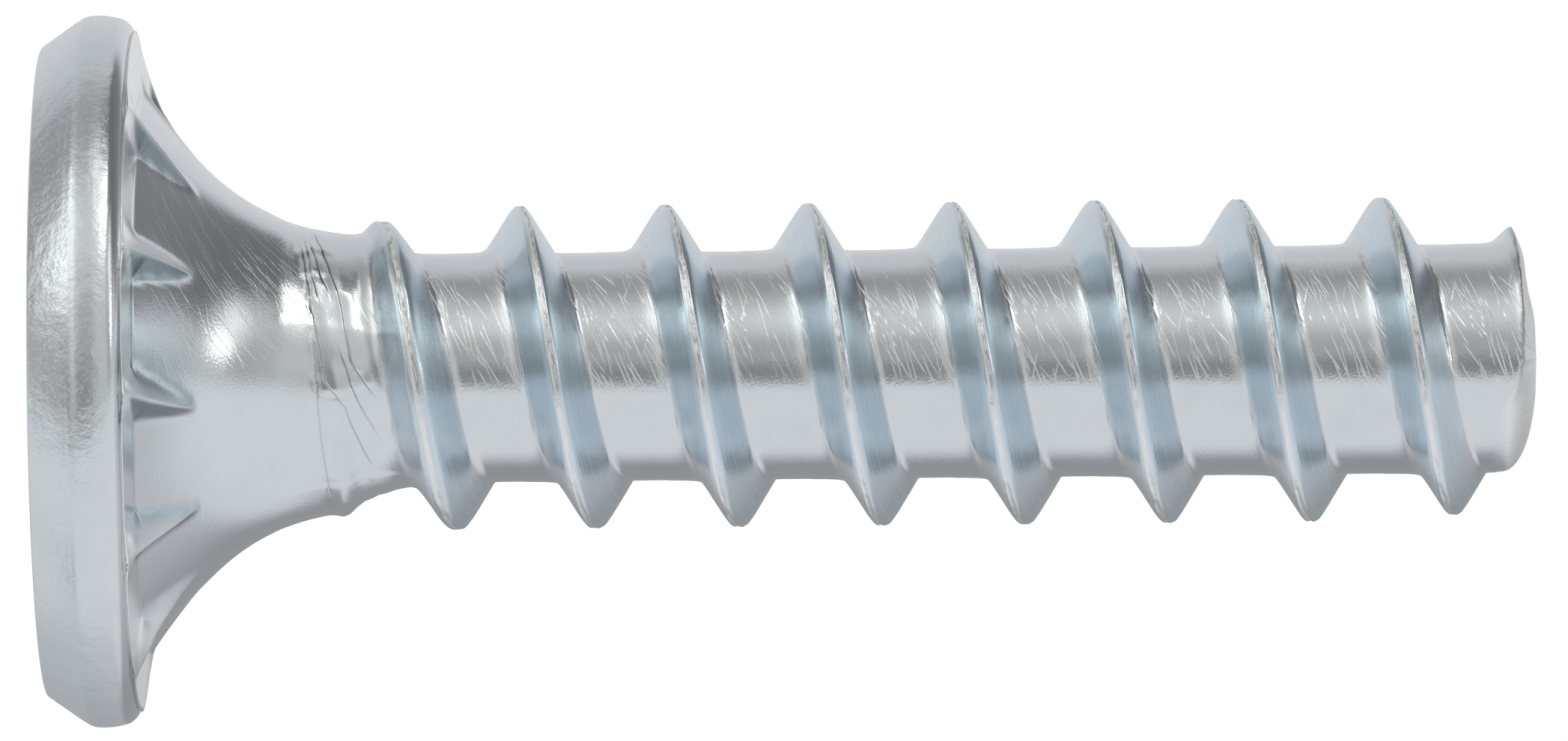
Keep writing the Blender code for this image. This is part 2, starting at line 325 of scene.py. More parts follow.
def flare_rings(steps=46):
    rings = []
    for step in range(steps + 1):
        share = FOOT_END + (0.88 - FOOT_END) * (step / steps)**1.25
        point = flare_point(share)
        if point.y > SHANK_START - 0.05:
            break
        even = 0.4 + 0.6 * min(max((point.y - 5.4) / 2.2, 0), 1)
        rings.append(ring(point.x, point.y, even=even, out=RIB_OUT, rib=rib_at(point)))
    return rings


def shank_rings():
    near = np.array([0, .045, .09, .14, .22, .34, .48, .62, .74, .83, .90, .97, 1.05, 1.16, 1.32])
    wide = np.linspace(1.55, PITCH - 1.55, 7)
    offsets = np.concatenate([near, wide, PITCH - near[:0:-1]])
    first = FIRST_CREST - PITCH / 2
    turns = range(-2, 10)
    heights = np.array([first + PITCH * turn + offset for turn in turns for offset in offsets])
    kept = heights[(heights > SHANK_START - PITCH - 0.2) & (heights < SHANK_END + 0.2)]
    print("rings in one pitch:", len(offsets))
    return [ring(0, float(height), shank=1.0) for height in kept]


def end_rings():
    """The sheared end, with the outline that shows at the top, where the ridge is cut off."""
    outline = [(5.6, 44.63), (5.0, 44.88), (4.5, 45.10), (4.15, 45.27), (4.05, 45.39), (3.78, 45.49),
               (3.6, 45.57), (3.4, 45.65), (3.1, 45.73), (2.6, 45.78), (2.1, 45.82), (1.8, 45.92),
               (1.5, 46.00), (1.0, 46.06), (0.2, 46.09), (0.0, END_TOP)]
    heights = [44.63, 44.76, 44.9, 45.03, 45.15, 45.26, 45.36, 45.44, 45.5, 45.56, 45.61, 45.65, 45.69,
               45.73, 45.78, 45.84, 45.9, 45.96, 46.01, 46.05, 46.08, 46.095, END_TOP]
    known_radii, known_heights = zip(*outline)
    return [ring(float(np.interp(height, known_heights, known_radii)), height, end=1.0) for height in heights]


def outline_mesh(rings):
    mesh = bpy.data.meshes.new("screw_outline")
    mesh.from_pydata([(r[0] * MM, 0, r[1] * MM) for r in rings], [], [])
    for index, name in enumerate(RING_FIELDS):
        attribute = mesh.attributes.new(name, "FLOAT", "POINT")
        attribute.data.foreach_set("value", [r[index] for r in rings])
    return mesh


rings = recess_rings() + rim_rings() + flare_rings() + shank_rings() + end_rings()
outline = outline_mesh(rings)
print("rings:", len(rings), "so at most", 2 * len(rings) * COLUMNS, "triangles")

# %% [markdown]
# ## The tree that turns the outline
#
# A grid has one column for each facet round the screw and one row for each ring. The tree reads each ring's
# attributes by the row's number, works out the radius and the height, and moves the grid's points there. The
# two edges of the grid meet after one turn, and Merge by Distance closes the seam and the two poles.

# %% A tree with named inputs
def new_tree(name, inputs):
    tree = bpy.data.node_groups.new(name, "GeometryNodeTree")
    tree.interface.new_socket("Geometry", in_out="OUTPUT", socket_type="NodeSocketGeometry")
    tree.interface.new_socket("Geometry", in_out="INPUT", socket_type="NodeSocketGeometry")
    for label, kind in inputs.items():
        tree.interface.new_socket(label, in_out="INPUT", socket_type=kind)
    start = tree.nodes.new("NodeGroupInput")
    return tree, {out.name: Field(tree, out) for out in start.outputs if out.name}


def ring_value(tree, outline_geometry, row, name):
    named = tree.nodes.new("GeometryNodeInputNamedAttribute")
    named.data_type = "FLOAT"
    named.inputs["Name"].default_value = name
    sample = tree.nodes.new("GeometryNodeSampleIndex")
    feed(sample.inputs["Geometry"], outline_geometry)
    feed(sample.inputs["Value"], Field(tree, named.outputs[0]))
    feed(sample.inputs["Index"], row)
    return Field(tree, sample.outputs[0])


def polynomial(value, factors):
    total = value * factors[0] + factors[1]
    for factor in factors[2:]:
        total = total * value + factor
    return total


def blended_larger(a, b, soft):
    """The larger of two values, with a fillet where they meet."""
    apart = a - b
    return (a + b + root(apart * apart + soft * soft)) * 0.5


# %% [markdown]
# ## The thread
#
# The shank's radius at a height and an angle is the larger of two forms. One is the core: the neck's line, a
# step where the dies start to roll, a short cone and a cylinder. The other is the ridge, whose flanks fall
# away at 30 degrees on both sides of a crest that climbs one pitch each turn. The photo shows a broad fillet
# at the foot of the flank that faces the head, and a tight one on the other side. The crest is the last
# place that the metal reaches, and the two sides of the ridge leave a ragged seam there.

# %% The shank's formula
def neck_polynomial():
    shares = np.linspace(0.7, 1.0, 40)
    points = np.array([flare_point(share) for share in shares])
    fit = np.polyfit(NECK_TOP - points[:, 1], points[:, 0], 3)
    worst = np.abs(np.polyval(fit, NECK_TOP - points[:, 1]) - points[:, 0]).max()
    print("neck line off by at most", round(float(worst), 4), "mm")
    return [float(value) for value in fit]


NECK_LINE = neck_polynomial()


def core_radius(height, down):
    """The blank without the ridge; down is 1 at the side that the photo shows lowest."""
    neck = polynomial(-height + NECK_TOP, NECK_LINE)
    lip = bell(height - 9.25, 0.30) * down * down * 0.13
    cone = (-height + ROLL_TOP) * ((NECK_RADIUS - ROLL_STEP - CORE_RADIUS) / CONE_HEIGHT)
    rolled = blended_larger(cone + (NECK_RADIUS - ROLL_STEP), -height * 0.0 + CORE_RADIUS, 0.10)
    begun = ease(height, 9.30, 9.95)
    kept_back = (1 - down) * (1 - ease(height, 9.9, 11.2)) * 0.16
    return between(neck + lip, rolled + kept_back, begun)


def ridge(height, angle, inputs, rag):
    """The ridge's radius, its distance from the crest along the axis, and turns from the first crest."""
    around = angle / math.tau
    turns = nearest((height - inputs["First Crest"]) / inputs["Pitch"] - around) + around
    drift = bell(turns - 0.5, 0.35) * 0.13 - bell(turns - 1.0, 0.3) * 0.10
    away = height - inputs["First Crest"] - turns * inputs["Pitch"] - drift
    grown = ease(turns, -0.62, 0.40)
    first = bell(turns, 0.3) * 0.05
    ending = ease(turns, 7.55, 7.97)
    gone = ease(turns, 7.05, 7.9) * 0.32 + ending * 0.50
    start = NECK_RADIUS - 0.55  # the ridge starts below the neck's surface
    crest = start + (inputs["Thread Radius"] - start) * grown + first - gone
    crest = crest + (rag - 0.5) * 0.05
    thick = inputs["Crest Width"] + bell(turns + 0.05, 0.4) * 0.06
    beyond = larger(size_of(away) - thick * 0.5, 0.0)
    soft = 0.09 + bell(turns + 0.05, 0.4) * 0.18 + ending * 0.5
    fall = root(beyond * beyond + soft * soft) - soft
    return crest - fall * (1 / math.tan(math.radians(FLANK_ANGLE))), away, turns


# %% [markdown]
# ## The tree itself
#
# The tree is written in parts, from the flat grid to the moved points. The columns crowd at each rib and
# lean with it, so that a rib's crest follows one column and has no steps.

# %% The flat grid and its columns
FIRST_RIB = math.radians(RIB_TURN)


def flat_grid(tree, inputs):
    """A grid with one row for each ring, and each point's column and row."""
    columns = inputs["Columns"]
    size = tree.nodes.new("GeometryNodeAttributeDomainSize")
    feed(size.inputs[0], inputs["Geometry"])
    rows = Field(tree, size.outputs["Point Count"])
    grid = tree.nodes.new("GeometryNodeMeshGrid")
    for slot, value in zip(grid.inputs, (columns, rows - 1, columns + 1, rows)):
        feed(slot, value)
    place = Field(tree, tree.nodes.new("GeometryNodeInputPosition").outputs[0])
    grid_x, grid_y, _ = parts_of(place)
    column = nearest(grid_x + columns * 0.5)
    row = nearest(grid_y + (rows - 1) * 0.5)
    return Field(tree, grid.outputs["Mesh"]), column, row


def column_angle(column, columns, at):
    """A column's angle, and its rib's lean and number."""
    in_ribs = column * RIB_COUNT / columns
    rib = nearest(in_ribs)
    off = in_ribs - rib
    crowded = at["even"] * off + (1 - at["even"]) * off * off * off * 4.0
    lean = ease(cosine((rib - 11.0) * (math.tau / RIB_COUNT)), 0.05, 0.45) * 12.0 - 6.5  # degrees, root to tip
    lean = lean * ((RIB_WIDE - at["rib_wide"]) / RIB_NARROWS - 0.4) * (math.pi / 180)
    angle = (rib + crowded) * (math.tau / RIB_COUNT) + FIRST_RIB
    return angle + lean * bell(off, 0.22) * (1 - at["even"]) / 0.6, lean, rib


print("columns for each rib:", COLUMNS // RIB_COUNT)

# %% [markdown]
# The shank's surface puts the core and the ridge together and adds what the dies leave: the ragged seam along
# the crest, and wrinkles at the start of the thread. The sheared end and the ribs have their own helpers.

# %% The shank's surface
def shank_surface(inputs, angle, height, x_round, y_round):
    """The radius, with the share of ridge, the distance from the crest and the wrinkles."""
    rag = noise(vector(x_round * 5.5 + inputs["Seed"], y_round * 5.5, height * 1.6), 4.0, 0.62)
    ridge_radius, away, turns = ridge(height, angle - math.pi, inputs, rag)
    core = core_radius(height, cosine(angle) * 0.5 + 0.5)
    soft = 0.07 + (1 - ease(away, -0.30, 0.0)) * (0.22 + bell(turns - 0.30, 0.20) * 0.50)
    shank = blended_larger(core, ridge_radius, soft)
    seam = bell(away + 0.03 - (rag - 0.5) * 0.16, 0.055) * ease(rag, 0.40, 0.56) * 0.075
    on_ridge = ease(ridge_radius - core, 0.10, 0.35)
    wrinkle = noise(vector(x_round * 2.2, y_round * 2.2, height * 5.0 + turns * 3.0), 3.0, 0.6)
    wrinkled = ease(height, 8.6, 9.6) * (1 - ease(turns, 0.18, 0.62)) * (1 - ease(height, 12.2, 13.4))
    return shank - seam * on_ridge + (wrinkle - 0.5) * 0.09 * wrinkled, on_ridge, away, wrinkled


print("the shank's surface is ready")

# %% The sheared end, the ribs and the last nodes
def sheared_end(top_outline, height, x_round, chips):
    """The radius that the shears leave, ragged above and dragged round below."""
    left = larger(-height + END_TOP, 0.0)
    ragged = height + chips * 0.35 * smaller(left * 3.0, 1.0)
    over_face = smaller(larger((ragged - END_EDGE) / (END_TOP - END_EDGE), 0.0), 1.0)
    face = root(1 - over_face) * 3.50 + larger(-ragged + END_EDGE, 0.0) * 3.0
    over_round = smaller(larger((height - DRAG_START) / (END_TOP - DRAG_START), 0.0), 1.0)
    dragged = (1 - over_round.math("POWER", 2.2)).math("POWER", 0.45) * CORE_RADIUS
    dragged = dragged + larger(-height + DRAG_START, 0.0) * 5.0
    radius = between(face, top_outline, ease(-x_round, 0.70, 0.98))
    return between(radius, dragged, ease(x_round, -0.10, 0.45))


def rib_section(beside):
    """A rib across: a broad face on one side, a rounded crest and a steep fall on the other."""
    face = (beside + RIB_FACE) / RIB_FACE
    fall = (-beside + RIB_FALL) / RIB_FALL
    form = larger(-blended_larger(-face, -fall, 0.10), 0.0)
    return form * form / (form + 0.05)


def through(tree, kind, geometry):
    """Leads the geometry through one more node."""
    node = tree.nodes.new("GeometryNode" + kind)
    feed(node.inputs["Geometry"], geometry)
    return node, Field(tree, node.outputs[0])


def stored(tree, geometry, name, value):
    node, result = through(tree, "StoreNamedAttribute", geometry)
    node.data_type, node.domain = "FLOAT", "POINT"
    node.inputs["Name"].default_value = name
    feed(node.inputs["Value"], value)
    return result


def finish_tree(tree, geometry, finish):
    merge, geometry = through(tree, "MergeByDistance", geometry)
    merge.inputs["Distance"].default_value = 0.000002
    _, geometry = through(tree, "SetShadeSmooth", geometry)
    _, geometry = through(tree, "RealizeInstances", geometry)
    paint, geometry = through(tree, "SetMaterial", geometry)
    feed(paint.inputs["Material"], finish)
    feed(tree.nodes.new("NodeGroupOutput").inputs[0], geometry)


print("a rib is", round((RIB_FACE + RIB_FALL) * RIB_WIDE, 2), "mm wide at its root")

# %% [markdown]
# The inputs are the sizes that a maker would change. The attributes for the finish are stored before the
# points move, because a point's row and column are read off its place in the flat grid.

# %% Build the tree
def build_screw_tree():
    numbers = dict.fromkeys(("Pitch", "First Crest", "Thread Radius", "Crest Width", "Seed"), "NodeSocketFloat")
    tree, inputs = new_tree("screw_from_outline", {
        "Columns": "NodeSocketInt", **numbers, "Finish": "NodeSocketMaterial"})
    result, column, row = flat_grid(tree, inputs)
    at = {name: ring_value(tree, inputs["Geometry"], row, name) for name in RING_FIELDS}
    angle, lean, rib = column_angle(column, inputs["Columns"], at)
    climbed = at["height"] + inputs["Pitch"] * (angle - FIRST_RIB) / math.tau
    climbed = smaller(larger(climbed, SHANK_START), SHANK_END)
    height = between(at["height"], climbed, at["kind_shank"])
    x_round, y_round = cosine(angle), sine(angle)
    shank, on_ridge, away, wrinkled = shank_surface(inputs, angle, height, x_round, y_round)

    lobes = polynomial(cosine(angle * 6.0), LOBES)
    plain = at["radius"] + at["lobed"] * lobes
    chips = noise(vector(x_round * 7.0, y_round * 7.0, 3.0), 4.0, 0.7) - 0.5
    sheared = sheared_end(at["radius"], height, x_round, chips)
    end = -blended_larger(-shank, -sheared, 0.05)
    end = end * ease(-height + END_TOP, 0.0, 0.04)
    radius = between(plain, shank, at["kind_shank"])
    radius = between(radius, end, at["kind_end"])

    beside = (angle - FIRST_RIB - rib * (math.tau / RIB_COUNT) - lean) * plain
    shown = 1 - ease(size_of(cosine(angle)), 0.88, 0.97) * 0.8
    rib_form = rib_section(beside / at["rib_wide"]) * at["rib_high"] * shown
    # the steep side of each rib, where a darker colour is painted as shade
    rib_fall = ease(beside / at["rib_wide"], 0.04, 0.14)
    radius = radius + rib_form * at["out_r"]
    height = height + rib_form * at["out_z"]
    shift = ease(height, 3.2, 5.2) * (1 - ease(height, 9.2, 11.0)) * NECK_SHIFT
    moved = vector((x_round * radius + shift) * MM, y_round * radius * MM, height * MM)

    kinds = {
        "thread": on_ridge * larger(at["kind_shank"], at["kind_end"]),
        "crest_away": away,
        "sheared": at["kind_end"] * ease(shank - sheared, -0.02, 0.06),
        "wrinkled": wrinkled * at["kind_shank"],
        # painted light: a lighter colour on the ribs' broad side
        "rib_face": ease(rib_form, 0.03, 0.40) * (1 - rib_fall),
        # painted shade: a darker colour on the ribs' steep fall
        "rib_fall": ease(rib_form, 0.0, 0.10) * rib_fall,
        "torn": at["kind_end"] * bell(shank - sheared, 0.16) * ease(x_round, 0.35, 0.0),
    }
    for name, value in kinds.items():
        result = stored(tree, result, name, value)  # while each point still lies in its own row
    put, result = through(tree, "SetPosition", result)
    feed(put.inputs["Position"], moved)
    finish_tree(tree, result, inputs["Finish"])
    return tree


screw_tree = build_screw_tree()
print("nodes in the tree:", len(screw_tree.nodes))

# %% [markdown]
# ## The folds' lines
#
# Where the dies start, they push metal back over the neck, and it lies there in thin oblique folds, like cloth
# under a thumb. There is no rule in them, so each is drawn with a few points. The lines are used twice. Later the
# vertices near a line move in or out, which makes the fold's low step. Its sharp edge is thinner than the mesh's
# facets, so the finish draws that: a curve node holds the line's height at each turn, and what is very near that
# height is the edge. Only the six longest lines on the front get an edge, because a material can hold only so
# many values at a time.
# That drawn edge is a dark line of painted shade, where the fold's step would be in shade.

# %% The folds' lines
FOLDS = [  # points as (degrees from the top, height in mm), then step in mm and width in mm
    ([(30, 8.00), (39, 8.14), (65, 8.44), (95, 8.85), (106, 9.46), (138, 10.21)], 0.070, 0.14),
    ([(14, 8.40), (27, 8.58), (65, 9.38), (87, 9.63), (103, 10.42)], 0.060, 0.13),
    ([(26, 8.28), (44, 8.58), (60, 9.02)], 0.050, 0.12),
    ([(24, 8.12), (46, 8.38), (62, 8.66)], 0.045, 0.12),
    ([(78, 8.46), (87, 8.53), (115, 8.67), (154, 8.91)], 0.040, 0.13),
    ([(82, 9.25), (96, 9.62), (108, 10.0), (124, 10.5)], 0.040, 0.13),
    ([(64, 8.20), (76, 8.45), (88, 8.60)], 0.025, 0.12),
    ([(190, 8.35), (215, 8.8), (240, 9.4)], 0.040, 0.15),
    ([(262, 8.2), (290, 8.7), (318, 9.3)], 0.040, 0.16),
]
EDGED_FOLDS = 6
HALF_TURN, CURVE_LOW, CURVE_SPAN = 180, 7, 4  # a curve node goes from 0 to 1, so the lines are scaled to it


def fold_height(turn, line):
    """The height of a fold's line at each turn from the top, up to half a turn."""
    node = turn.tree.nodes.new("ShaderNodeFloatCurve")
    curve = node.mapping.curves[0]
    places = [(degrees / HALF_TURN, (height - CURVE_LOW) / CURVE_SPAN) for degrees, height in line]
    curve.points[0].location, curve.points[-1].location = places[0], places[-1]
    for place in places[1:-1]:
        curve.points.new(*place)
    for point in curve.points:
        point.handle_type = "VECTOR"
    node.mapping.update()
    feed(node.inputs["Value"], turn / HALF_TURN)
    return Field(turn.tree, node.outputs[0]) * CURVE_SPAN + CURVE_LOW


def fold_edges(turn, height):
    """How near the edge of a fold on the front is."""
    near = None
    for line, step, _ in FOLDS[:EDGED_FOLDS]:
        middle, half = (line[0][0] + line[-1][0]) / 2, (line[-1][0] - line[0][0]) / 2
        there = ease(size_of(turn - middle), half + 3, half - 9) * min(step / 0.05, 1)
        edge = bell(height - fold_height(turn, line), 0.030) * there
        near = edge if near is None else larger(near, edge)
    return near


print("folds on the neck:", len(FOLDS))

# %% [markdown]
# ## The plated finish
#
# Bright zinc is a thin, slightly blue mirror over steel. On the blank's drawn surface it is smooth. On the
# flanks the dies leave fine lines that run with the thread, which blur the reflection and tint it. The crest
# is rubbed bright, with dark flakes where the two sides of the ridge meet. The end was sheared, so it is
# duller and granular, with a dark torn edge. One Principled material holds all of them, and the attributes
# that the tree stored say where each is.

# %% Helpers for the finish
def attribute(tree, name):
    node = tree.nodes.new("ShaderNodeAttribute")
    node.attribute_name = name
    return Field(tree, node.outputs["Fac"])


def colour_between(a, b, share):
    node = share.tree.nodes.new("ShaderNodeMix")
    node.data_type = "RGBA"
    feed(node.inputs["Factor"], share)
    feed(node.inputs[6], a)
    feed(node.inputs[7], b)
    return Field(share.tree, node.outputs[2])


def dice(a, b, c):
    """Three random values for each set of numbers."""
    node = a.tree.nodes.new("ShaderNodeTexWhiteNoise")
    node.noise_dimensions = "3D"
    feed(node.inputs["Vector"], vector(a, b, c))
    return parts_of(Field(a.tree, node.outputs["Color"]))


print("finish helpers are ready")

# %% [markdown]
# Plated screws rub on each other in a barrel, which leaves short straight scratches across the core. A noise
# texture gives blots, not lines. So the surface is cut into long thin cells, and White Noise throws dice for
# each: whether it holds a line, where, and how much it leans. Five such grids lie over each other.

# %% Scratches
def scratch_lines(along, across, rows, length, seed, share):
    """Thin straight lines, at most one in each long cell."""
    row = (across * rows).math("FLOOR")
    slide, _, _ = dice(row, seed, 0.5)
    step = along / length + slide
    cell = step.math("FLOOR")
    chance, place, lean = dice(row, cell, seed)
    here = step - cell - 0.5
    beside = across * rows - row - 0.5 - (place - 0.5) * 0.4 - here * (lean - 0.5) * 0.6
    return (ease(size_of(beside), 0.15, 0.03) * ease(size_of(here), 0.5, 0.2)
            * ease(chance, 1 - share, 1.15 - share))


SCRATCH_FAMILIES = (  # slant in radians, rows to a mm, length in mm, seed, share of cells
    (0.34, 5.5, 2.3, 3.0, 0.40),
    (0.46, 6.0, 1.7, 7.0, 0.30),
    (0.22, 6.5, 2.1, 13.0, 0.34),
    (0.58, 5.0, 1.2, 21.0, 0.14),
    (-0.16, 6.0, 1.5, 29.0, 0.08),
)


def all_scratches(round_length, z):
    scratches = None
    for slant, rows, length, seed, share in SCRATCH_FAMILIES:
        along = round_length * math.cos(slant) + z * math.sin(slant)
        across = z * math.cos(slant) - round_length * math.sin(slant)
        lines = scratch_lines(along, across, rows, length, seed, share)
        scratches = lines if scratches is None else larger(scratches, lines)
    return scratches


print("families of scratches:", len(SCRATCH_FAMILIES))

# %% [markdown]
# Next come the masks, each from 0 to 1, that say which kind of surface a point is on. Some are the tree's
# attributes and some are zones of height on the head. The rest are noises: one that is stretched along the
# thread makes die lines, one stretched round the axis makes turning lines, and an even one makes grain,
# clouds or lumps. Places are in millimetres from the screw's origin.

# %% Which surface is where
def object_millimetres(tree):
    coordinates = tree.nodes.new("ShaderNodeTexCoord")
    scaled = tree.nodes.new("ShaderNodeVectorMath")
    scaled.operation = "SCALE"
    tree.links.new(coordinates.outputs["Object"], scaled.inputs[0])
    scaled.inputs["Scale"].default_value = 1 / MM
    return parts_of(Field(tree, scaled.outputs[0]))


def surfaces(tree):
    on = SimpleNamespace()
    on.x, y, z = object_millimetres(tree)
    x = on.x
    angle = on.angle = x.math("ARCTAN2", -y)
    round_length = angle * 4.0  # the way round the core in mm

    thread = attribute(tree, "thread")
    away = attribute(tree, "crest_away")
    on.sheared = attribute(tree, "sheared")
    on.wrinkled = attribute(tree, "wrinkled")
    on.flank = thread * ease(size_of(away), 0.04, 0.11)
    on.crest = thread - on.flank
    on.core = (1 - thread) * ease(z, 9.5, 11.5) * (1 - on.sheared)

    on.grain = noise(vector(x * 13.0, y * 13.0, z * 13.0), 3.0, 0.6)
    on.cloud = noise(vector(x * 0.7, y * 0.7, z * 0.7), 3.0, 0.55)
    on.die_lines = noise(vector(x * 0.35, y * 0.35, away * 22.0), 2.0, 0.6)
    on.round_lines = noise(vector(x * 0.6, y * 0.6, z * 16.0), 2.0, 0.6)

    scratches = all_scratches(round_length, z)
    patches = ease(noise(vector(x * 0.5, y * 0.5, z * 0.5 + 5.0), 2.0, 0.5), 0.34, 0.56)
    on.flare = ease(z, 3.2, 4.0) * (1 - ease(z, 8.0, 9.5))
    strip = ease(cosine((angle + 0.42) * 2.0), 0.0, 0.75) * 0.88 + 0.12  # the band where scratches catch the soft boxes; keeping them to it is painted light
    on.scratched = scratches * (0.25 + patches * 0.75) * (1 - thread) * (on.core + on.flare * 0.12) * strip
    drawn = scratch_lines(round_length * 0.66 + z * 0.75, z * 0.66 - round_length * 0.75,
                          13.0, 1.3, 41.0, 0.55)
    # drawing marks on the flare are real, but keeping them to the lit band and the negative-x side, where they
    # catch the soft boxes, is painted light
    on.drawn = drawn * on.flare * strip * ease(x, 0.8, -1.6)
    on.rib_face, on.rib_fall, on.torn = (attribute(tree, name) for name in ("rib_face", "rib_fall", "torn"))
    flakes = ease(noise(vector(x * 2.8, y * 2.8, away * 16.0), 3.0, 0.65), 0.47, 0.58)
    on.flakes = flakes * on.crest * ease(away, -0.05, 0.02) * ease(x, 1.4, 0.2)
    # painted shade: a dark line along the edges of the folds on the front
    on.crease = fold_edges(angle * (180 / math.pi) + 90.0, z + (on.cloud - 0.5) * 0.2)
    # painted light: the band between the ring and the flare is made lighter
    on.under_ring = ease(z, 2.80, 2.87) * ease(z, 3.22, 3.10)
    on.rim = ease(z, 2.60, 2.35)
    on.ring_edge = ease(z, 2.35, 2.50) * ease(z, 2.90, 2.85)
    on.lumps = noise(vector(x * 1.3, y * 1.3, z * 1.3), 3.0, 0.6)
    on.specks = ease(noise(vector(x * 9.0, y * 9.0, z * 6.0), 3.0, 0.7), 0.52, 0.72) * on.rim
    return on


print("the masks are ready")

# %% [markdown]
# On a metal, the base colour is the colour of the reflection. Coats of colour lie over each other here, from the
# plain zinc to the dark edges, each with the mask that says where it shows. Some coats are painted light and
# shade: the ribs' broad sides and the band under the ring are painted lighter, the ribs' steep falls and the
# folds' edges are painted darker, and the scratches and drawn lines are kept to the side where they catch the
# soft boxes. Roughness and relief are sums.
# The relief is a few thousandths of a millimetre on the smooth parts, and a Bump node makes tilts of it.

# %% The colour of the plating
PLAIN_ZINC = (0.765, 0.80, 0.83)


def coats(on):
    """Each coat's colour, and the mask that says where it shows."""
    yield (0.70, 0.79, 0.855), on.flank
    yield (0.78, 0.85, 0.905), on.flank * ease(on.die_lines, 0.52, 0.68)
    yield (0.69, 0.725, 0.76), ease(on.cloud, 0.45, 0.75) * 0.30
    # scratches are wear; keeping them to the lit band is painted light
    yield (0.97, 0.975, 0.98), on.scratched
    # drawing marks, lightened and kept where they catch the soft boxes: partly painted light
    yield (0.93, 0.95, 0.96), on.drawn * 0.60
    # painted light: the ribs' broad sides are lighter
    yield (0.90, 0.93, 0.95), on.rib_face
    # painted shade: the ribs' steep falls are darker
    yield (0.34, 0.38, 0.40), on.rib_fall
    # painted light: a lighter band under the ring
    yield (0.95, 0.96, 0.97), on.under_ring
    yield (0.92, 0.93, 0.935), on.crest
    yield (0.34, 0.36, 0.36), on.flakes * 0.8
    yield (0.90, 0.91, 0.915), on.sheared
    # the end's dark torn edge, and painted shade along the folds' edges, stronger towards negative x
    yield (0.30, 0.31, 0.32), larger(on.torn * 0.85, on.crease * (ease(on.x, 1.0, -1.0) * 0.35 + 0.38))


def zinc_colour(on):
    colour = (*PLAIN_ZINC, 1)
    for coat, share in coats(on):
        colour = colour_between(colour, (*coat, 1), share)
    return colour


print("plain zinc:", PLAIN_ZINC)

# %% Roughness and relief
def zinc_roughness(on):
    rough = 0.09 + (on.grain - 0.5) * 0.08 + on.cloud * 0.05
    rough = rough + on.flank * (0.10 + (on.die_lines - 0.5) * 0.12) + on.sheared * 0.28
    rough = rough + on.scratched * 0.42 + on.wrinkled * 0.06 + on.crest * 0.20 + on.under_ring * 0.05
    rough = rough + on.rib_face * 0.34 + on.rib_fall * 0.10
    rough = rough + on.rim * (0.09 + ease(on.x, 6.0, 9.5) * 0.34) + on.ring_edge * 0.03 + on.drawn * 0.20
    return smaller(larger(rough, 0.06), 0.75)


def zinc_relief(on):
    """The height of the fine relief in millimetres."""
    strip_grain = bell(on.angle - 0.06, 0.16) * on.core * 0.003
    relief = (on.grain - 0.5) * (strip_grain + on.flare * 0.0024 + 0.0036)
    relief = relief + (on.round_lines - 0.5) * 0.0020 * on.core + (on.die_lines - 0.5) * 0.005 * on.flank
    relief = relief - on.scratched * 0.012 - on.drawn * 0.0022
    relief = relief + (on.grain - 0.5) * 0.02 * on.sheared + (on.grain - 0.5) * 0.014 * on.crest
    return relief + (on.lumps - 0.5) * 0.036 * on.rim - on.specks * 0.003 - on.crease * 0.018


print("roughness and relief are ready")

# %% Zinc-plated steel
def zinc_plated_steel():
    material = bpy.data.materials.new("zinc_plated_steel")
    material.use_nodes = True
    tree = material.node_tree
    shader = tree.nodes["Principled BSDF"]
    on = surfaces(tree)
    feed(shader.inputs["Base Color"], zinc_colour(on))
    shader.inputs["Metallic"].default_value = 1.0
    feed(shader.inputs["Roughness"], zinc_roughness(on))
    relief = zinc_relief(on)
    bump = tree.nodes.new("ShaderNodeBump")
    bump.inputs["Strength"].default_value = 1.0
    bump.inputs["Distance"].default_value = MM
    feed(bump.inputs["Height"], relief)
    feed(shader.inputs["Normal"], Field(tree, bump.outputs[0]))
    return material


zinc = zinc_plated_steel()
print("nodes in the finish:", len(zinc.node_tree.nodes))

# %% [markdown]
# ## Make the screw
#
# The modifier runs the tree on the bare outline. Its result is taken as a plain mesh, because a live tree
# can't be exported, and the modifier goes.

# %% Run the tree and keep a plain mesh
def run_tree(thing, tree, values):
    modifier = thing.modifiers.new("turn", "NODES")
    modifier.node_group = tree
    sockets = {item.name: item.identifier for item in tree.interface.items_tree
               if item.item_type == "SOCKET" and item.in_out == "INPUT"}
    for name, value in values.items():
        modifier[sockets[name]] = value
    bpy.context.view_layer.update()
    graph = bpy.context.evaluated_depsgraph_get()
    mesh = bpy.data.meshes.new_from_object(thing.evaluated_get(graph))
    thing.modifiers.remove(modifier)
    thing.data = mesh
    return thing


screw = bpy.data.objects.new("screw_body", outline)
bpy.context.scene.collection.objects.link(screw)
run_tree(screw, screw_tree, {
    "Columns": COLUMNS,
    "Pitch": PITCH,
    "First Crest": FIRST_CREST,
    "Thread Radius": THREAD_RADIUS,
    "Crest Width": CREST_WIDTH,
    "Seed": 4.0,
    "Finish": zinc,
})
screw.data.name = "screw_body"
triangles = sum(len(face.vertices) - 2 for face in screw.data.polygons)
print("triangles in the screw:", triangles)

# %% [markdown]
# ## Folds of the rolled neck
#
# The folds' low steps are pressed into the plain mesh with a little arithmetic on all vertices at once. For
# each fold, the neck is unrolled flat, and each vertex finds its distance from the line and the side that it
# is on. One side rises and fades away slowly, and the other sinks close to the line.

# %% Press the folds into the neck
NECK_REACH = 4.3  # mm from the axis, to unroll the neck
FOLD_ZONE, ZONE_FADE = (7.0, 11.4), 0.5


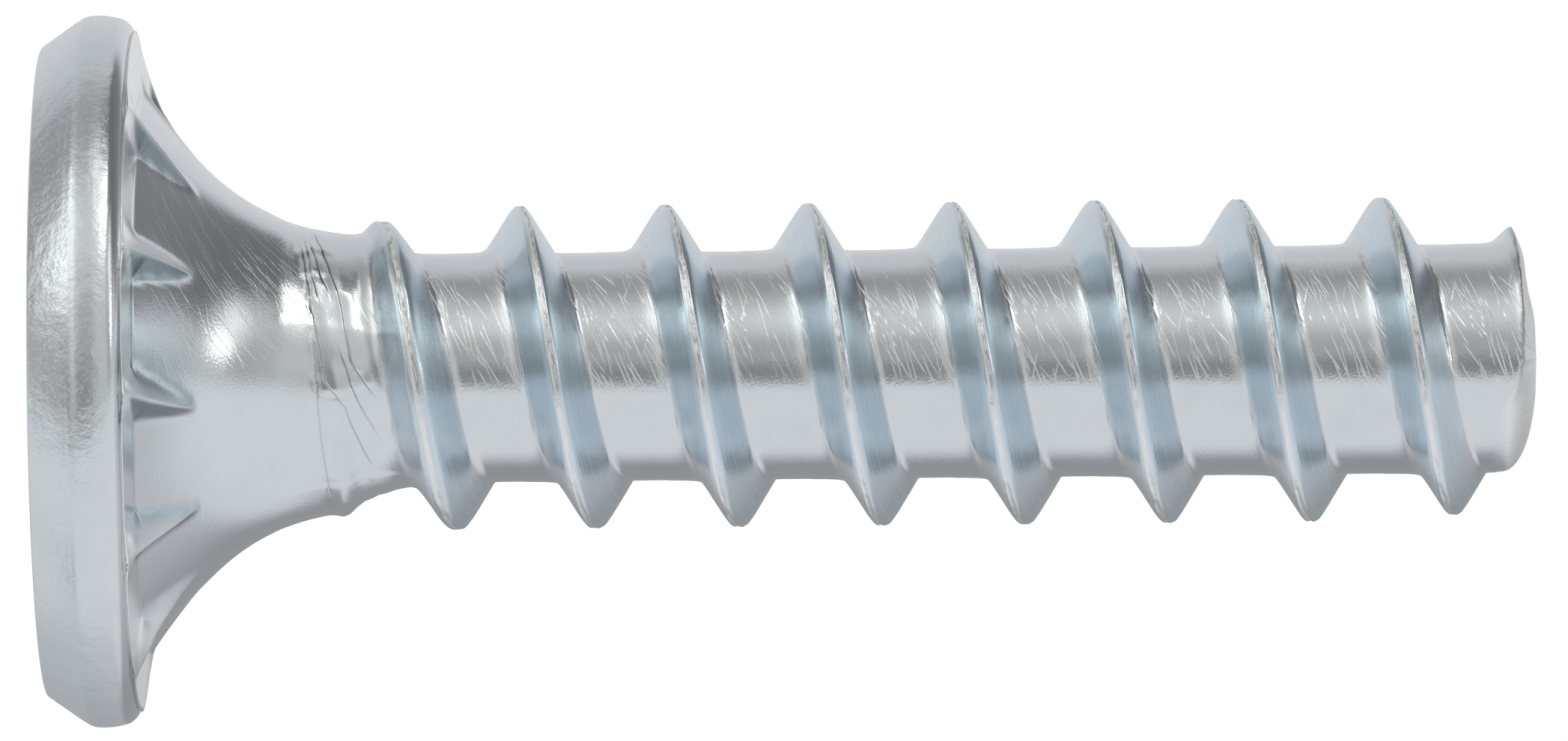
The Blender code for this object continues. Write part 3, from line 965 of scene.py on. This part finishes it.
def fold_shift(points, turn, height, line, step, width):
    """How far each vertex moves out for one fold."""
    line = np.array([(math.radians(a) * NECK_REACH, z) for a, z in line])
    place = np.stack([turn * NECK_REACH, height], 1)
    best = np.full(len(points), 9.0)
    side = np.zeros(len(points))
    ends = np.ones(len(points))
    for index, (a, b) in enumerate(zip(line, line[1:])):
        along = (b - a) / np.linalg.norm(b - a)
        far = np.linalg.norm(b - a)
        share = np.clip((place - a) @ along, 0, far)
        gap = place - a - share[:, None] * along
        distance = np.linalg.norm(gap, axis=1)
        closer = distance < best
        best = np.where(closer, distance, best)
        side = np.where(closer, np.sign(gap @ np.array([-along[1], along[0]])), side)
        position = (index + share / far) / (len(line) - 1)
        ends = np.where(closer, np.clip(4 * position * (1 - position), 0, 1)**0.5, ends)
    signed = side * best
    raised = np.exp(-(signed / (width * 2.6))**2) * (signed > 0)
    sunk = np.exp(-(signed / width)**2) * (signed <= 0)
    return step * ends * (raised - 0.7 * sunk)


def press_folds(thing):
    mesh = thing.data
    points = np.empty(len(mesh.vertices) * 3)
    mesh.vertices.foreach_get("co", points)
    points = points.reshape(-1, 3) / MM
    height = points[:, 2]
    radius = np.hypot(points[:, 0], points[:, 1])
    turn = np.mod(np.arctan2(points[:, 1], points[:, 0]) - math.pi, math.tau)
    low, high = FOLD_ZONE
    near = (height > low) & (height < high) & (radius > 3.4)
    shift = np.zeros(len(points))
    for line, step, width in FOLDS:
        shift[near] += fold_shift(points[near], turn[near], height[near], line, step, width)
    shift *= np.clip((height - low) / ZONE_FADE, 0, 1) * np.clip((high - height) / ZONE_FADE, 0, 1)
    points[:, :2] *= (1 + shift / np.maximum(radius, 0.1))[:, None]
    mesh.vertices.foreach_set("co", (points * MM).ravel())
    mesh.update()
    print("vertices moved by folds:", int((np.abs(shift) > 0.005).sum()))


press_folds(screw)
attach(screw, "root")
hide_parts("countersunk_screw")

# %% [markdown]
# ## The camera
#
# The photo was taken from far away with a long lens, level with the middle of the screw and a little towards
# its end. The screw stands on its head here, so the camera lies on its side: the picture's right is the
# screw's way up. Its turn and distance were found by laying the solid's outline over the photo's.

# %% The photo's camera
TARGET = Vector((0.171, 0, 22.85)) * MM
DISTANCE = 580 * MM
YAW, ROLL = math.radians(1.1), math.radians(0.547)


def photo_camera():
    forward = Vector((0, math.cos(YAW), -math.sin(YAW)))
    right = Vector((0, math.sin(YAW), math.cos(YAW)))
    up = Vector((-1, 0, 0))
    axis_x = right * math.cos(ROLL) - up * math.sin(ROLL)
    axis_y = right * math.sin(ROLL) + up * math.cos(ROLL)
    lens = bpy.data.cameras.new("photo_camera")
    lens.sensor_width = 36.0
    lens.lens = 430.8
    lens.clip_start, lens.clip_end = 0.05, 20.0
    camera = bpy.data.objects.new("photo_camera", lens)
    turn = Matrix((axis_x, axis_y, -forward)).transposed()
    camera.matrix_world = Matrix.Translation(TARGET - forward * DISTANCE) @ turn.to_4x4()
    bpy.context.scene.collection.objects.link(camera)
    bpy.context.scene.camera = camera
    return camera


camera = photo_camera()
print("camera at", [round(c, 3) for c in camera.location])

# %% [markdown]
# ## The studio
#
# Polished metal shows what is round it more than its own colour. The photo's studio can be read off the
# screw: white paper below, a dim room with a faint olive cast in front, two soft boxes above, a light wall
# behind with a darker doorway to the right, and a gap between the wall and the paper. A world that gives each
# direction its own brightness makes the same reflections, and costs less time than large lamps. Each form in
# it is a soft step or a bell in two numbers: the turn round the screw, with 0 towards the camera and 90 the
# picture's up, and z, which is the picture's right. The picture's own background is plain white, which only
# the camera's rays need to see.

# %% The world
def lamp(direction_parts, towards, spread, strength):
    """A soft round lamp in one direction; spread is its half angle in degrees."""
    towards = Vector(towards).normalized()
    x, y, z = direction_parts
    facing = x * towards.x + y * towards.y + z * towards.z
    inner, outer = math.cos(math.radians(spread * 0.45)), math.cos(math.radians(spread * 1.25))
    return ease(facing, outer, inner) * strength


STUDIO_LIGHT, GAP_LIGHT = 0.80, 0.43


def surroundings(x, y, z):
    """Brightness in each direction: the room, two soft boxes, the wall behind, the paper and its gap."""
    turn = (-x).math("ARCTAN2", -y) * (180 / math.pi)  # 0 to the camera, 90 is the picture's up
    room = 0.33 + ease(turn, -4, 7) * 0.20 + ease(turn, 20, 34) * 0.08 - ease(turn, 55, 85) * 0.16
    left_box = bell(turn - 50, 30) * bell(z + 0.55, 0.34) * ease(z, -1.0, -0.75) * 0.68
    right_box = bell(turn - 54, 24) * bell(z - 0.41, 0.17) * 0.48
    beside = ease(size_of(z), 0.10, 0.35) * ease(size_of(z), 0.88, 0.60) * bell(turn + 4, 26) * 0.30
    room = room + left_box + right_box + beside + bell(turn - 46, 17) * 0.24
    room = room - ease(z, 0.50, 0.62) * ease(z, 0.82, 0.74) * ease(turn, 15, 45) * 0.20
    room = room + bell(turn - 60, 18) * bell(z - 0.84, 0.07) * 0.60
    room = between(room, ease(turn, 60, -10) * 0.45 + 0.22, ease(-z, 0.80, 0.98) * 0.6)
    room = room + bell(turn - 58, 22) * bell(z + 0.885, 0.075) * 1.20

    wall = ease(turn, 92, 122)
    wall_light = ease(turn, 125, 170) * 0.11 + 0.81 - bell(turn - 112, 20) * ease(-z, 0.45, 0.70) * 0.42
    doorway = ease(z - larger(turn - 128, 0.0) * 0.0085, 0.22, 0.40) * ease(z, 0.975, 0.935)
    doorway = doorway * (1 - ease(turn, 152, 176) * 0.85) * ease(turn, 68, 90)
    room = larger(between(room, wall_light, wall) - doorway * 0.55, 0.23)

    paper = ease((turn - z * 14 + 18) / (size_of(z) * 3 + 1), 4, -4)
    value = between(room, 0.97 - ease(turn, -95, -150) * 0.12, paper)
    open_right = larger(ease(z, 0.35, 0.95) * 0.75, ease(z, 0.05, 0.30) * ease(turn, -142, -122))
    open_side = larger(ease(-z, 0.25, 0.72), open_right)
    value = value - bell(turn + 88, 13) * bell(z + 0.70, 0.10) * 0.38
    gap = ease(turn, -92, -124) * ease(turn, -180, -174) * (1 - open_side)
    return between(value, gap * 0.0 + GAP_LIGHT, gap), paper, wall


def studio_world():
    world = bpy.data.worlds.new("studio")
    bpy.context.scene.world = world
    world.use_nodes = True
    tree = world.node_tree
    background = tree.nodes["Background"]
    coordinates = tree.nodes.new("ShaderNodeTexCoord")
    x, y, z = parts_of(Field(tree, coordinates.outputs["Generated"]))
    brightness, paper, wall = surroundings(x, y, z)
    turn = (-x).math("ARCTAN2", -y) * (180 / math.pi)
    lamps = (bell(turn - 61, 11) * bell(z - 0.455, 0.060) * 5.0
             + bell(turn - 72, 9) * (bell(z + 0.67, 0.13) + bell(z - 0.20, 0.10)) * 1.1
             + lamp((x, y, z), (-0.192, -0.247, 0.950), 4.5, 3.0)
             + lamp((x, y, z), (-0.25, -0.22, 0.94), 13.0, 0.20))
    tint = colour_between((0.985, 1.0, 0.96, 1), (0.97, 0.985, 1.0, 1), larger(paper, wall))
    seen = Field(tree, tree.nodes.new("ShaderNodeLightPath").outputs["Is Camera Ray"])
    feed(background.inputs["Color"], colour_between(tint, (1, 1, 1, 1), seen))
    feed(background.inputs["Strength"], between((brightness + lamps) * STUDIO_LIGHT, seen * 0.0 + 1.0, seen))
    return world


studio = studio_world()
print("nodes in the world:", len(studio.node_tree.nodes))

# %% [markdown]
# The floor is there for the other views and as a place to stand on. Reflections don't show it,
# because the world's paper already stands for it there.

# %% The floor
def pale_floor():
    mesh = bpy.data.meshes.new("floor")
    half = 3.0
    mesh.from_pydata([(-half, -half, 0), (half, -half, 0), (half, half, 0), (-half, half, 0)], [], [(0, 1, 2, 3)])
    floor = bpy.data.objects.new("floor", mesh)
    bpy.context.scene.collection.objects.link(floor)
    material = bpy.data.materials.new("pale_floor")
    material.use_nodes = True
    shader = material.node_tree.nodes["Principled BSDF"]
    shader.inputs["Base Color"].default_value = (0.30, 0.30, 0.30, 1)
    shader.inputs["Roughness"].default_value = 0.9
    shader.inputs["Specular IOR Level"].default_value = 0.1
    shader.inputs["Emission Color"].default_value = (1, 1, 1, 1)
    shader.inputs["Emission Strength"].default_value = 0.9
    mesh.materials.append(material)
    floor.visible_glossy = False
    return floor


floor = pale_floor()
bpy.context.scene.view_settings.view_transform = "Standard"
print("floor side in m:", round(floor.dimensions.x, 1))
